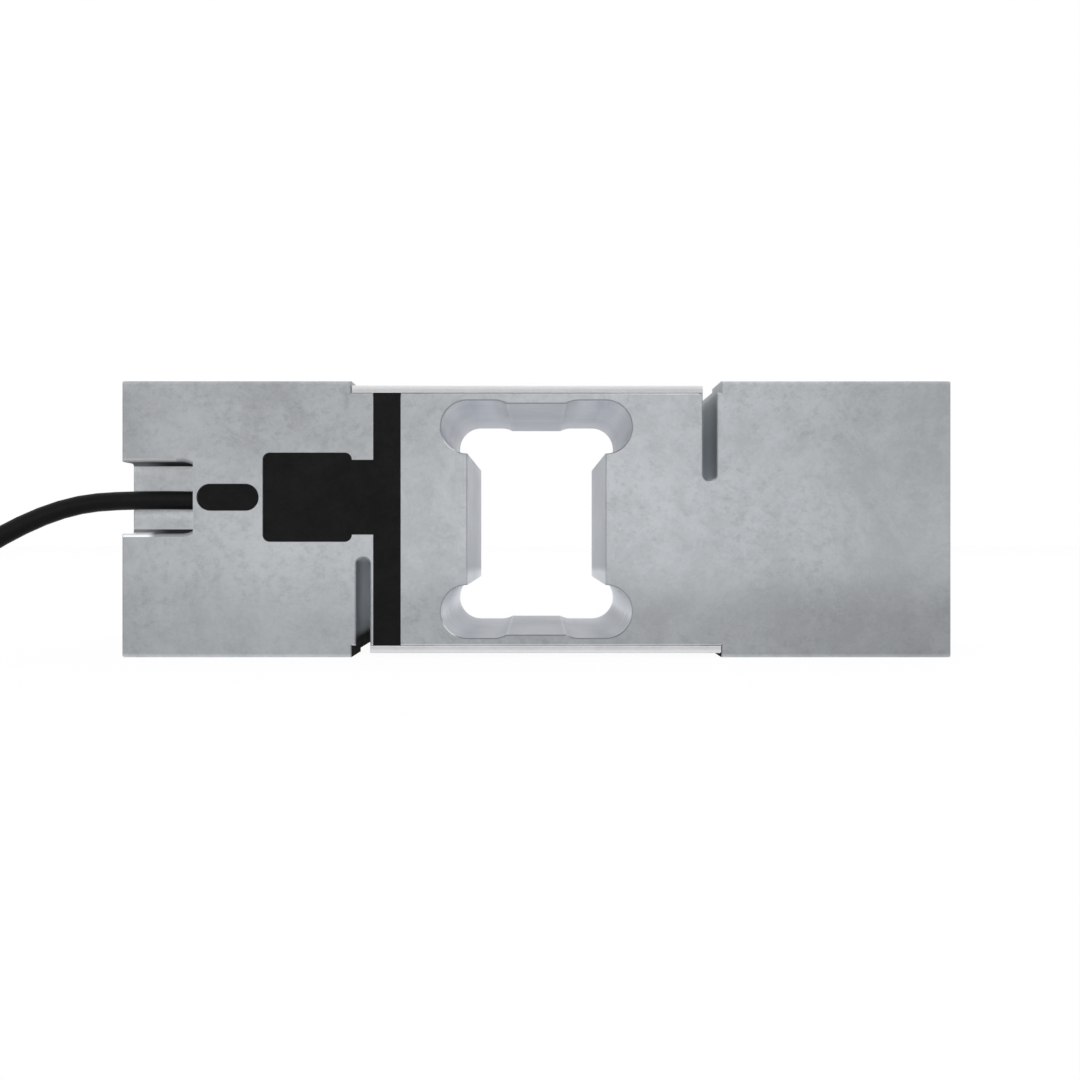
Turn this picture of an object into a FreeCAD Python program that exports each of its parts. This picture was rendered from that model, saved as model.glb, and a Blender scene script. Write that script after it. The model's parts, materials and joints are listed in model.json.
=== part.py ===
# Single-point load cell: a machined aluminium bending beam with bonded gauges and a potted cable.
# Millimetres. Origin at the middle of the block's base, +X along the block away from the cable,
# -Y to the front face with the pockets, +Z up.
import FreeCAD, Part
import math
import os

Vector = FreeCAD.Vector

# Block
block_length = 150.0
block_width = 40.0
block_height = 50.0
edge_break = 0.2

# Gauge recesses across the top and the bottom
recess_half_length = 33.5
recess_depth = 2.1

# Strain-isolation slots, one from each recess
slot_ledge = 0.8
slot_width = 2.6
slot_reach = 18.15

# Dog-bone window: a straight waist between four lobes left by the cutter
window_half_width = 12.5
web_thickness = 1.4
lobe_radius = 4.8
lobe_travel = 4.75
waist_step = 0.6

# Mounting rails along the end faces, with a shallow relief between them
rail_width = 8.5
relief_depth = 0.7

# Tapped mounting holes, two in each end
thread_core_radius = 3.4
thread_depth = 20.0
thread_mouth = 0.7
mouth_half_angle = 60.0
drill_point_half_angle = 59.0
hole_spacing = 20.0
hole_from_end = 12.5

# Cable notch in the left end of the front face
notch_length = 12.85
notch_height = 13.0
notch_depth = 4.7
notch_corner_radius = 4.5
notch_corner_run = 2.3
notch_edge_round = 0.65
notch_floor_round = 0.6
port_height = 28.9

# Potted pockets in the front face, in order from the notch
pill_wall = 0.8
pill_length = 11.1
pill_height = 4.75
pill_depth = 5.4
pocket_wall = 0.85
pocket_size = 16.0
pocket_depth = 6.0
pocket_corner = 1.3
neck_height = 13.4
channel_width = 5.0
channel_depth = 3.0
channel_wall = 0.55
potting_sink = 0.05
potting_gap = 0.01

# Cover strips over the gauges
cover_thickness = 1.35
cover_gap = 0.1
cover_side_rim = 0.8
cover_end_rim = 1.2
cover_hollow = 0.5
cover_edge_break = 0.2

# Strain gauges and their printed leads
gauge_length = 9.0
gauge_width = 7.0
gauge_backing = 0.1
gauge_foil = 0.05
gauge_margin = 1.0
gauge_strands = 6
strand_share = 0.5
flex_width = 3.0
flex_thickness = 0.2
flex_offset = 7.5
flex_tab_width = 2.4
flex_front_depth = 1.6
flex_half_pitch = 3.0

# Terminal board and the bridge's trimming resistors
board_margin = 1.5
board_thickness = 1.0
chip_length = 3.2
chip_width = 1.6
chip_height = 0.8
chip_cap = 0.5
chip_cap_step = 0.05
chip_pitch = 2.6
flex_end_margin = 1.2

# Cable
cable_diameter = 3.4
cable_radius = cable_diameter / 2
cable_height = 28.5
cable_hole_gap = 0.15
cable_floor_gap = 0.05
jacket_end = 0.8
core_radius = 0.45
core_offset = 0.6
core_slant = 33.0
arc_share = 0.45
cable_sides = 12

# Route of the free cable: straight out of the notch's end wall, then down to the floor
cable_straight = 12.4
cable_route = [
    (-86.0, -19.6, 27.45),
    (-97.0, -26.0, 19.9),
    (-107.5, -31.9, 9.4),
    (-119.0, -35.6, cable_radius),
    (-131.5, -37.1, cable_radius),
]

# Coil of the cable's spare length
coil_columns = 4
coil_layers = 4
coil_mean_radius = 19.5
coil_end_angle = 265.0
coil_gap = 0.1
tie_angle = 95.0
tie_width = 6.0
tie_thickness = 0.9

# Steps of the cable's tail from the coil's top turn, each with its share of the way down to the sleeve
tail_straight = 6.6
tail_steps = [
    (-12.7, 2.2, 0.21),
    (-17.6, 5.4, 0.51),
    (-21.0, 10.3, 0.82),
    (-22.6, 16.4, 1.0),
    (-22.6, 23.0, 1.0),
]

# Far end: shrink sleeve, flying leads and the shield's pigtail
sleeve_radius = 2.0
sleeve_length = 11.0
sleeve_shoulder = 1.5
sleeve_mouth_radius = 1.75
lead_radius = 0.5
lead_offset = 0.58
lead_length = 18.0
lead_hover = 0.2
lead_fans = {"red": 19.0, "black": 5.0, "green": -5.0, "white": -19.0}
shield_radius = 0.35
shield_lift = 1.3
tip_radius = 0.3
tip_length = 4.0

# Values that follow from the ones above
left_end = -block_length / 2
front_face = -block_width / 2
half_height = block_height / 2
recess_floor = block_height - recess_depth
slot_centre = recess_half_length - slot_ledge - slot_width / 2
slot_inner = slot_centre - slot_width / 2
window_top = half_height - recess_depth - web_thickness
notch_end = left_end + notch_length
notch_floor = front_face + notch_depth
pill_left = notch_end + pill_wall
pocket_left = pill_left + pill_length + pocket_wall
pocket_middle = pocket_left + pocket_size / 2
pocket_floor = front_face + pocket_depth
channel_middle = -slot_inner + channel_wall + channel_width / 2
cable_axis = notch_floor - cable_radius - cable_floor_gap
gauge_middle = window_half_width - lobe_travel / 2
board_front = pocket_floor - board_thickness
board_half = pocket_size / 2 - board_margin
flex_front = front_face + flex_front_depth
past = 1.0
tiny = 1e-6


def box(x, y, z):
    size = [abs(span[1] - span[0]) for span in (x, y, z)]
    return Part.makeBox(*size, Vector(min(x), min(y), min(z)))


def half_turn(shape):
    # The same piece on the other side of the block, turned about its cross axis
    turned = shape.copy()
    turned.rotate(Vector(0, 0, half_height), Vector(0, 1, 0), 180)
    return turned


def depth_prism(edges, y_from, y_to):
    face = Part.Face(Part.Wire(edges))
    face.translate(Vector(0, y_from, 0))
    return face.extrude(Vector(0, y_to - y_from, 0))


def line(a, b):
    return Part.LineSegment(Vector(a[0], 0, a[1]), Vector(b[0], 0, b[1])).toShape()


def arc(a, middle, b):
    return Part.Arc(*[Vector(p[0], 0, p[1]) for p in (a, middle, b)]).toShape()


def obround(start, end, radius, y_from, y_to):
    # A cutter's path in the front view, level or upright, with round ends
    along = Vector(end[0] - start[0], 0, end[1] - start[1]).normalize()
    side = Vector(-along.z, 0, along.x)

    def at(point, forward, sideways):
        return (
            point[0] + radius * (along.x * forward + side.x * sideways),
            point[1] + radius * (along.z * forward + side.z * sideways),
        )

    edges = [
        line(at(start, 0, 1), at(end, 0, 1)),
        arc(at(end, 0, 1), at(end, 1, 0), at(end, 0, -1)),
        line(at(end, 0, -1), at(start, 0, -1)),
        arc(at(start, 0, -1), at(start, -1, 0), at(start, 0, 1)),
    ]
    return depth_prism(edges, y_from, y_to)


def rounded_square(middle, size, corner, y_from, y_to):
    half = size / 2
    x = (middle[0] - half, middle[0] + half)
    z = (middle[1] - half, middle[1] + half)
    solid = box(x, (y_from, y_to), z)
    corners = [e for e in solid.Edges if e.BoundBox.XLength + e.BoundBox.ZLength < tiny]
    return solid.makeFillet(corner, corners)


def rounded_route(points):
    # Straight runs joined by tangent arcs, each as large as its two runs allow
    edges = []
    radii = []
    start = points[0]
    for before, corner, after in zip(points, points[1:], points[2:]):
        way_in = corner - before
        way_out = after - corner
        reach = arc_share * min(way_in.Length, way_out.Length)
        turn = way_in.getAngle(way_out)
        way_in.normalize()
        way_out.normalize()
        radius = reach / math.tan(turn / 2)
        inward = (way_out - way_in).normalize()
        middle = corner + inward * (radius / math.cos(turn / 2) - radius)
        arc_start = corner - way_in * reach
        arc_end = corner + way_out * reach
        edges.append(Part.LineSegment(start, arc_start).toShape())
        edges.append(Part.Arc(arc_start, middle, arc_end).toShape())
        start = arc_end
        radii.append(radius)
    edges.append(Part.LineSegment(start, points[-1]).toShape())
    return Part.Wire(edges), radii


def cable_section(centre, way):
    # Plain many-sided outline of the cable, square to its way
    up = Vector(0, 0, cable_radius)
    step = 360 / cable_sides
    corners = [FreeCAD.Rotation(way, i * step).multVec(up) for i in range(cable_sides)]
    return Part.makePolygon([centre + corner for corner in corners + corners[:1]])


def cable_tube(points, name):
    path, radii = rounded_route(points)
    section = cable_section(points[0], points[1] - points[0])
    solid = path.makePipeShell([section], True, False)
    expected = Part.Face(section).Area * path.Length
    print(name, "length", round(path.Length, 1), "volume share", round(solid.Volume / expected, 4))
    print(name, "radii", [round(r, 1) for r in radii])
    return solid


def window_cut():
    waist = window_top - waist_step
    cut = box(
        (-window_half_width, window_half_width),
        (front_face - past, -front_face + past),
        (half_height - waist, half_height + waist),
    )
    for sx in (-1, 1):
        for sz in (-1, 1):
            level = half_height + sz * (window_top - lobe_radius)
            outer = (sx * window_half_width, level)
            inner = (sx * (window_half_width - lobe_travel), level)
            cut = cut.fuse(obround(inner, outer, lobe_radius, front_face - past, -front_face + past))
    return cut.removeSplitter()


def recess_cut():
    return box(
        (-recess_half_length, recess_half_length),
        (front_face - past, -front_face + past),
        (recess_floor, block_height + past),
    )


def slot_cut():
    radius = slot_width / 2
    round_end = (slot_centre, block_height - slot_reach + radius)
    return obround(
        round_end, (slot_centre, block_height + past), radius, front_face - past, -front_face + past
    )


def break_edges(solid):
    # Small chamfers round the front and back outlines and on the block's four long corners
    edges = []
    for edge in solid.Edges:
        b = edge.BoundBox
        on_side = b.YLength < tiny and abs(abs(b.YMin) - block_width / 2) < tiny
        at_end = b.XLength < tiny and abs(abs(b.XMin) - block_length / 2) < tiny
        on_corner = at_end and b.ZLength < tiny
        if on_side or on_corner:
            edges.append(edge)
    return solid.makeChamfer(edge_break, edges)


def relief_cuts():
    # Shallow channel between the rails on both end pads, above and below
    half = block_width / 2 - rail_width
    cuts = []
    for sx in (-1, 1):
        reach = (sx * (recess_half_length - past), sx * (block_length / 2 + past))
        top = box(reach, (-half, half), (block_height - relief_depth, block_height + past))
        cuts += [top, half_turn(top)]
    return cuts


def tapped_hole(x):
    # Drilled core with its point and a countersunk mouth, opening upwards in the relief's floor
    mouth = block_height - relief_depth
    deep = mouth - thread_depth
    up = Vector(0, 0, 1)
    point_length = thread_core_radius / math.tan(math.radians(drill_point_half_angle))
    core = Part.makeCylinder(thread_core_radius, thread_depth + past, Vector(x, 0, deep), up)
    tip = Part.makeCone(0, thread_core_radius, point_length, Vector(x, 0, deep - point_length), up)
    wide = thread_core_radius + thread_mouth
    sink_depth = thread_mouth / math.tan(math.radians(mouth_half_angle))
    sink = Part.makeCone(thread_core_radius, wide, sink_depth, Vector(x, 0, mouth - sink_depth), up)
    return core.fuse(tip).fuse(sink)


def hole_cuts():
    last = block_length / 2 - hole_from_end
    live_end = [tapped_hole(x) for x in (last - hole_spacing, last)]
    fixed_end = [half_turn(hole) for hole in live_end]
    return live_end + fixed_end


def notch_cut():
    # Open pocket for the cable: rounded floor edges, corner arcs cut off by the flat end wall
    half = notch_height / 2
    drop = notch_corner_radius - math.sqrt(notch_corner_radius**2 - notch_corner_run**2)
    halfway = notch_corner_run / 2
    half_drop = notch_corner_radius - math.sqrt(notch_corner_radius**2 - halfway**2)
    bend = notch_end - notch_corner_run
    opening = left_end - past
    low, high = port_height - half, port_height + half
    edges = [
        line((opening, high), (bend, high)),
        arc((bend, high), (bend + halfway, high - half_drop), (notch_end, high - drop)),
        line((notch_end, high - drop), (notch_end, low + drop)),
        arc((notch_end, low + drop), (bend + halfway, low + half_drop), (bend, low)),
        line((bend, low), (opening, low)),
        line((opening, low), (opening, high)),
    ]
    pocket = depth_prism(edges, front_face - past, notch_floor)
    floor_edges = []
    for edge in pocket.Edges:
        b = edge.BoundBox
        on_floor = b.YLength < tiny and abs(b.YMin - notch_floor) < tiny
        if on_floor and b.XLength > past / 2:
            floor_edges.append(edge)
    pocket = pocket.makeFillet(notch_floor_round, floor_edges)
    return pocket.fuse(notch_edge_cuts(bend, low, high))


def notch_edge_cuts(bend, low, high):
    # What rounding takes off the notch's two long front edges, straight and then round the corner arc
    r = notch_edge_round
    sweep = math.degrees(math.asin(notch_corner_run / notch_corner_radius))
    cuts = []
    for level, side in ((high, 1), (low, -1)):
        corner = Vector(bend, front_face, level)
        across = Vector(0, 0, side * r)
        inward = Vector(0, r, 0)
        middle = corner + (across + inward) - (across + inward) * math.sqrt(0.5)
        edges = [
            Part.LineSegment(corner, corner + across).toShape(),
            Part.Arc(corner + across, middle, corner + inward).toShape(),
            Part.LineSegment(corner + inward, corner).toShape(),
        ]
        section = Part.Face(Part.Wire(edges))
        straight = section.extrude(Vector(left_end - past - bend, 0, 0))
        pivot = Vector(bend, front_face, level - side * notch_corner_radius)
        curved = section.revolve(pivot, Vector(0, side, 0), sweep)
        inside = box((bend, notch_end), (front_face, notch_floor), (low - 2 * r, high + 2 * r))
        cuts += [straight, curved.common(inside)]
    return cuts


def cable_hole():
    # Bore for the cable from the notch through the pill pocket into the square pocket
    start = Vector(notch_end - past, cable_axis, cable_height)
    radius = cable_radius + cable_hole_gap
    return Part.makeCylinder(radius, pocket_left - notch_end + 2 * past, start, Vector(1, 0, 0))


def pill_cavity(grow, y_front):
    radius = pill_height / 2 + grow
    ends = (pill_left + pill_height / 2, pill_left + pill_length - pill_height / 2)
    floor = front_face + pill_depth + grow
    return obround((ends[0], port_height), (ends[1], port_height), radius, y_front, floor)


def pocket_cavity(grow, y_front):
    # Square pocket, neck and upright channel, which is open to both gauge recesses
    square = rounded_square(
        (pocket_middle, port_height), pocket_size + 2 * grow, pocket_corner + grow, y_front,
        pocket_floor + grow,
    )
    neck = box(
        (pocket_middle, channel_middle),
        (y_front, front_face + channel_depth + grow),
        (port_height - neck_height / 2 - grow, port_height + neck_height / 2 + grow),
    )
    half = channel_width / 2 + grow
    channel = box(
        (channel_middle - half, channel_middle + half),
        (y_front, front_face + channel_depth + grow),
        (recess_depth, recess_floor),
    )
    return square.fuse(neck).fuse(channel).removeSplitter()


def spring_body():
    solid = box((left_end, -left_end), (front_face, -front_face), (0, block_height))
    cuts = [recess_cut(), slot_cut()]
    cuts += [half_turn(cut) for cut in cuts]
    solid = solid.cut(cuts + [window_cut()]).removeSplitter()
    solid = break_edges(solid)
    front_cuts = [
        notch_cut(),
        pill_cavity(0, front_face - past),
        pocket_cavity(0, front_face - past),
        cable_hole(),
    ]
    return solid.cut(relief_cuts() + hole_cuts() + front_cuts)


def top_cover():
    # Strip from the recess wall to the slot's edge, hollow underneath over the gauges
    x = (-recess_half_length + cover_gap, slot_inner)
    y = (front_face, -front_face)
    plate = box(x, y, (recess_floor, recess_floor + cover_thickness))
    outer_face = recess_floor + cover_thickness
    outer_edges = [e for e in plate.Edges if abs(e.BoundBox.ZMin - outer_face) < tiny]
    plate = plate.makeChamfer(cover_edge_break, outer_edges)
    hollow = box(
        (x[0] + cover_end_rim, x[1] - cover_end_rim),
        (y[0] + cover_side_rim, y[1] - cover_side_rim),
        (recess_floor - past, recess_floor + cover_hollow),
    )
    return plate.cut(hollow)


def strain_gauge(x):
    # Foil grid on a backing film, bonded to the recess floor over a web
    half_length, half_width = gauge_length / 2, gauge_width / 2
    film_top = recess_floor + gauge_backing
    film = box(
        (x - half_length, x + half_length), (-half_width, half_width), (recess_floor, film_top)
    )
    foil = (film_top, film_top + gauge_foil)
    grid_width = gauge_width - 2 * gauge_margin
    pitch = grid_width / (gauge_strands - 1 + strand_share)
    strand = pitch * strand_share
    reach = (x - half_length + gauge_margin, x + half_length - gauge_margin)
    pieces = []
    for i in range(gauge_strands):
        y = -grid_width / 2 + i * pitch
        pieces.append(box(reach, (y, y + strand), foil))
        if i + 1 < gauge_strands:
            turn = reach[i % 2]
            end = (turn, turn + strand) if i % 2 == 0 else (turn - strand, turn)
            pieces.append(box(end, (y, y + pitch + strand), foil))
    return film.fuse(pieces).removeSplitter()


def flex_lead(side):
    # Printed lead: along the recess floor past both gauges, down the channel and in to the board
    floor = half_height + side * (half_height - recess_depth)
    outer = floor + side * flex_thickness
    half = flex_width / 2
    level = port_height + side * flex_half_pitch
    board_end = pocket_middle + board_half - flex_end_margin
    front = (flex_front - flex_thickness, flex_front)
    pieces = [
        box((channel_middle - half, gauge_middle + half), (-flex_offset - half, -flex_offset + half),
            (floor, outer)),
        box((channel_middle - half, channel_middle + half), (front[0], -flex_offset), (floor, outer)),
        box((channel_middle - half, channel_middle + half), front, (level - side * half, outer)),
        box((board_end, channel_middle + half), front, (level - half, level + half)),
        box((board_end, board_end + flex_thickness), (front[0], board_front), (level - half, level + half)),
    ]
    for x in (-gauge_middle, gauge_middle):
        tab = (x - flex_tab_width / 2, x + flex_tab_width / 2)
        pieces.append(box(tab, (-flex_offset, -gauge_width / 2), (floor, outer)))
    return pieces[0].fuse(pieces[1:]).removeSplitter()


def terminal_board():
    return box(
        (pocket_middle - board_half, pocket_middle + board_half),
        (board_front, pocket_floor),
        (port_height - board_half, port_height + board_half),
    )


def chip_resistor(row):
    # Small chip with raised end caps, soldered flat on the board
    z = port_height + row * chip_pitch
    half = chip_length / 2
    face = board_front - chip_height
    body = box(
        (pocket_middle - half, pocket_middle + half),
        (face, board_front),
        (z - chip_width / 2, z + chip_width / 2),
    )
    caps = []
    for side in (-1, 1):
        caps.append(
            box(
                (pocket_middle + side * (half - chip_cap), pocket_middle + side * half),
                (face - chip_cap_step, board_front),
                (z - chip_width / 2 - chip_cap_step, z + chip_width / 2 + chip_cap_step),
            )
        )
    return body.fuse(caps).removeSplitter()


def cable_root():
    start = Vector(notch_end, cable_axis, cable_height)
    length = pocket_left + jacket_end - notch_end
    return Part.makeCylinder(cable_radius, length, start, Vector(1, 0, 0))


def conductor(front, upper):
    # One core slanting from the jacket's end to its pad on the board, flush with both
    x = pocket_left + jacket_end
    y = cable_axis - front * core_offset
    z = cable_height + upper * core_offset
    slant = math.radians(core_slant)
    way = Vector(math.cos(slant), math.sin(slant), 0)
    spare = 2 * cable_diameter
    length = (board_front - y) / way.y + 2 * spare
    core = Part.makeCylinder(core_radius, length, Vector(x, y, z) - way * spare, way)
    between = box((x, x + length), (y - cable_diameter, board_front), (z - core_radius, z + core_radius))
    return core.common(between)


def free_route():
    start = Vector(notch_end, cable_axis, cable_height)
    return [start, start - Vector(cable_straight, 0, 0)] + [Vector(*p) for p in cable_route]


def coil_frame():
    # Where the coil lies: its outer turn is tangent to the route's last run
    half = coil_columns * cable_diameter / 2
    outer_turn = coil_mean_radius + half - cable_radius
    outside = coil_mean_radius + half
    lead = math.sqrt((outside + cable_radius + coil_gap) ** 2 - outer_turn**2)
    route = free_route()
    heading = (route[-1] - route[-2]).normalize()
    right = Vector(heading.y, -heading.x, 0)
    touch = route[-1] + heading * lead
    centre = touch + right * outer_turn
    return Vector(centre.x, centre.y, 0), outer_turn, half, lead, heading, touch


def tail_start():
    centre, outer_turn, half, lead, heading, touch = coil_frame()
    angle = math.radians(coil_end_angle)
    level = (coil_layers - 0.5) * cable_diameter
    leave = centre + Vector(outer_turn * math.cos(angle), outer_turn * math.sin(angle), level)
    way = Vector(math.sin(angle), -math.cos(angle), 0)
    return leave, way, leave + way * lead


def coil_ring():
    # Outer form of the wound cable, with the two short ends that lead in and out
    centre, outer_turn, half, lead, heading, touch = coil_frame()
    height = coil_layers * cable_diameter
    section = Part.makeBox(
        2 * half, height, height, Vector(coil_mean_radius - half, -height / 2, 0)
    )
    boxes = [(e, e.BoundBox) for e in section.Edges]
    outer = [e for e, b in boxes if b.YLength > height / 2 and b.XMin > coil_mean_radius]
    flat = section.makeChamfer(cable_radius, outer).slice(Vector(0, 1, 0), 0)
    ring = Part.Face(flat).revolve(Vector(0, 0, 0), Vector(0, 0, 1), 360)
    ring.translate(centre)
    leave, way, tail = tail_start()
    lead_in = Part.makeCylinder(cable_radius, lead, touch - heading * lead, heading)
    lead_out = Part.makeCylinder(cable_radius, lead, leave, way)
    return Part.Solid(ring).fuse([lead_in, lead_out]).removeSplitter()


def coil_tie():
    # Flat strap round the bundle
    centre, outer_turn, half, lead, heading, touch = coil_frame()
    inner = coil_mean_radius - half
    outer = coil_mean_radius + half
    top = coil_layers * cable_diameter
    wide = (-tie_width / 2, tie_width / 2)
    sag = inner - math.sqrt(inner**2 - (tie_width / 2) ** 2)
    loop = box((inner - sag - tie_thickness, outer + tie_thickness), wide, (0, top + tie_thickness))
    space = box((inner - sag, outer), (-tie_width, tie_width), (tie_thickness, top))
    strap = loop.cut(space)
    strap.rotate(Vector(0, 0, 0), Vector(0, 0, 1), tie_angle)
    strap.translate(centre)
    return strap


def tail_route():
    leave, way, start = tail_start()
    fall = sleeve_radius - start.z
    steps = [Vector(x, y, share * fall) for x, y, share in tail_steps]
    return [start, start + way * tail_straight] + [start + step for step in steps]


def end_frame():
    route = tail_route()
    along = route[-1] - route[-2]
    along = Vector(along.x, along.y, 0).normalize()
    return route[-1], along, Vector(-along.y, along.x, 0)


def end_sleeve():
    start, along, across = end_frame()
    profile = [
        (0, 0),
        (0, sleeve_mouth_radius),
        (sleeve_shoulder, sleeve_radius),
        (sleeve_length, sleeve_radius),
        (sleeve_length, 0),
        (0, 0),
    ]
    up = Vector(0, 0, 1)
    outline = Part.makePolygon([start + along * p[0] + up * p[1] for p in profile])
    return Part.Face(outline).revolve(start, along, 360)


def lead_place(forward, sideways, height):
    # A point past the sleeve's end: forward and sideways from its middle, height above the floor
    start, along, across = end_frame()
    end = start + along * (sleeve_length + forward) + across * sideways
    return Vector(end.x, end.y, height)


def lead_ends(fan, radius, offset, lift):
    # Both ends of a wire's straight run from the sleeve's end face down to the floor
    reach = offset + math.tan(math.radians(fan)) * lead_length
    near = lead_place(0, offset, end_frame()[0].z + lift)
    return near, lead_place(lead_length, reach, radius + lead_hover)


def end_wire(near, far, radius):
    way = far - near
    spare = way * (past / way.Length)
    wire = Part.makeCylinder(radius, way.Length + past, near - spare, way)
    return wire.cut(end_sleeve())


def lead_ways():
    # Outer leads leave from the sleeve's upper half and the inner ones from its lower half
    widest = max(abs(fan) for fan in lead_fans.values())
    ways = {}
    for name, fan in lead_fans.items():
        side = math.copysign(1, fan)
        lift = lead_offset if abs(fan) == widest else -lead_offset
        ways[name] = lead_ends(fan, lead_radius, side * lead_offset, lift)
    return ways


def lead_tips():
    tips = []
    for near, far in lead_ways().values():
        tips.append(Part.makeCylinder(tip_radius, tip_length, far, far - near))
    return Part.makeCompound(tips)


def build():
    pieces = {"spring_body": spring_body()}

    pieces["top_cover"] = top_cover()
    pieces["bottom_cover"] = half_turn(top_cover())
    for word, x in (("left", -gauge_middle), ("right", gauge_middle)):
        pieces["gauge_top_" + word] = strain_gauge(x)
        pieces["gauge_bottom_" + word] = half_turn(strain_gauge(-x))
    pieces["top_flex_lead"] = flex_lead(1)
    pieces["bottom_flex_lead"] = flex_lead(-1)

    pieces["terminal_board"] = terminal_board()
    chips = ["span_resistor_a", "span_resistor_b", "zero_resistor", "temperature_resistor"]
    for i, name in enumerate(chips):
        pieces[name] = chip_resistor(i - (len(chips) - 1) / 2)
    pieces["cable_root"] = cable_root()
    cores = {"red": (1, 1), "black": (1, -1), "green": (-1, 1), "white": (-1, -1)}
    for colour, (front, upper) in cores.items():
        pieces["conductor_" + colour] = conductor(front, upper)

    # Both pours take the form of their cavity round everything that lies in it
    poured = [shape for name, shape in pieces.items() if name != "spring_body"]
    level = front_face + potting_sink
    pieces["pocket_potting"] = pocket_cavity(-potting_gap, level).cut(poured)
    pieces["cable_potting"] = pill_cavity(-potting_gap, level).cut(poured)

    pieces["cable_run"] = cable_tube(free_route(), "cable_run")
    pieces["coil_tie"] = coil_tie()
    pieces["cable_coil"] = coil_ring().cut(pieces["coil_tie"])
    pieces["cable_tail"] = cable_tube(tail_route(), "cable_tail")
    pieces["end_sleeve"] = end_sleeve()
    for colour, (near, far) in lead_ways().items():
        pieces["lead_" + colour] = end_wire(near, far, lead_radius)
    pieces["lead_tips"] = lead_tips()
    shield_ends = lead_ends(0, shield_radius, 0, shield_lift)
    pieces["shield_wire"] = end_wire(*shield_ends, shield_radius)
    return pieces


os.makedirs("parts", exist_ok=True)
for node, shape in build().items():
    shape.exportStep("parts/" + node + ".step")
    print(node, shape.ShapeType, len(shape.Solids), "valid", shape.isValid(), round(shape.Volume, 2))
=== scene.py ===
import bpy
import bmesh
import json
import math
from mathutils import Matrix, Vector


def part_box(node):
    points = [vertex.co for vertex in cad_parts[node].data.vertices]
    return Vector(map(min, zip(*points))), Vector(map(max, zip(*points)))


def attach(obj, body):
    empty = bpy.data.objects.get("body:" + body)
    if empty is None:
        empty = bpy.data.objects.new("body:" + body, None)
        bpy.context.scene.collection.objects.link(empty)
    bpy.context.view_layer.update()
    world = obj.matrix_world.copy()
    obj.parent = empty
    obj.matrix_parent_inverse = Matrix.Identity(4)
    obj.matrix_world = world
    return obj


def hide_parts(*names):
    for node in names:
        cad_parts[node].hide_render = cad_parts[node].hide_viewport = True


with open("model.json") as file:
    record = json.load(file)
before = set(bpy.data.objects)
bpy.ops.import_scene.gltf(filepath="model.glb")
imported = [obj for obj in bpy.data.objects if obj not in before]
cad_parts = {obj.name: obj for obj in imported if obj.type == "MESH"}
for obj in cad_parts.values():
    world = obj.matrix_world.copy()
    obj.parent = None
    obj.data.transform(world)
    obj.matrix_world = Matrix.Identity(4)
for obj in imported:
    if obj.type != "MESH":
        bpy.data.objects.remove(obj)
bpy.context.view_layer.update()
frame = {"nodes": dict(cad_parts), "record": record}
nodes = frame["nodes"]
bodyLow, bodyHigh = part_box("spring_body")
pillLow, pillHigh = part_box("cable_potting")
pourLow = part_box("pocket_potting")[0]
mm = 0.001
print("frame loaded,", len(nodes), "nodes")


# small helpers for the node trees

def feed(tree, socket, value):
    if isinstance(value, bpy.types.NodeSocket):
        tree.links.new(value, socket)
    else:
        socket.default_value = value


def put(tree, kind, feeds=None, **settings):
    node = tree.nodes.new("ShaderNode" + kind)
    for name, value in settings.items():
        setattr(node, name, value)
    for name, value in (feeds or {}).items():
        feed(tree, node.inputs[name], value)
    return node


def calc(tree, operation, *values):
    node = put(tree, "Math", dict(enumerate(values)), operation=operation)
    return node.outputs[0]


def product(tree, first, *others):
    for other in others:
        first = calc(tree, "MULTIPLY", first, other)
    return first


def most(tree, first, *others):
    for other in others:
        first = calc(tree, "MAXIMUM", first, other)
    return first


def inverse(tree, value):
    return calc(tree, "SUBTRACT", 1.0, value)


def spread(tree, value, low, high, toLow=0.0, toHigh=1.0):
    limits = {"From Min": low, "From Max": high, "To Min": toLow, "To Max": toHigh}
    node = put(tree, "MapRange", {"Value": value, **limits}, interpolation_type="SMOOTHSTEP")
    return node.outputs[0]


def ramp(tree, value, zone):
    # a zone holds two places in millimetres and what is found at them
    low, high, first, second = zone
    return spread(tree, value, low * mm, high * mm, first, second)


def band(tree, value, zone):
    # 1 between a zone's two places in millimetres, fading to 0 over its third number
    low, high, soft = zone
    rise = spread(tree, value, (low - soft) * mm, low * mm)
    fall = spread(tree, value, high * mm, (high + soft) * mm, 1.0, 0.0)
    return product(tree, rise, fall)


def mixColour(tree, share, first, second):
    node = put(tree, "Mix", {0: share, 6: first, 7: second}, data_type="RGBA")
    return node.outputs[2]


def mixVector(tree, share, first, second):
    node = put(tree, "Mix", {0: share, 4: first, 5: second}, data_type="VECTOR")
    return node.outputs[1]


def scaled(tree, colour, tone):
    return put(tree, "VectorMath", {0: colour, "Scale": tone}, operation="SCALE").outputs[0]


def noise(tree, where, scale, detail, roughness, distortion=0.0):
    values = {"Vector": where, "Scale": scale, "Detail": detail, "Roughness": roughness}
    return put(tree, "TexNoise", {**values, "Distortion": distortion}).outputs[0]


def objectPlace(tree, stretch=(1, 1, 1), shift=(0, 0, 0), turn=(0, 0, 0)):
    where = put(tree, "TexCoord").outputs["Object"]
    mapping = put(tree, "Mapping", {"Vector": where, "Scale": stretch, "Location": shift, "Rotation": turn})
    return mapping.outputs[0]


def spotAndFacing(tree):
    # where a point of the surface is and which way it faces, axis by axis
    where = put(tree, "TexCoord").outputs["Object"]
    normal = put(tree, "NewGeometry").outputs["Normal"]
    return [put(tree, "SeparateXYZ", {0: vector}).outputs for vector in (where, normal)]


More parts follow.
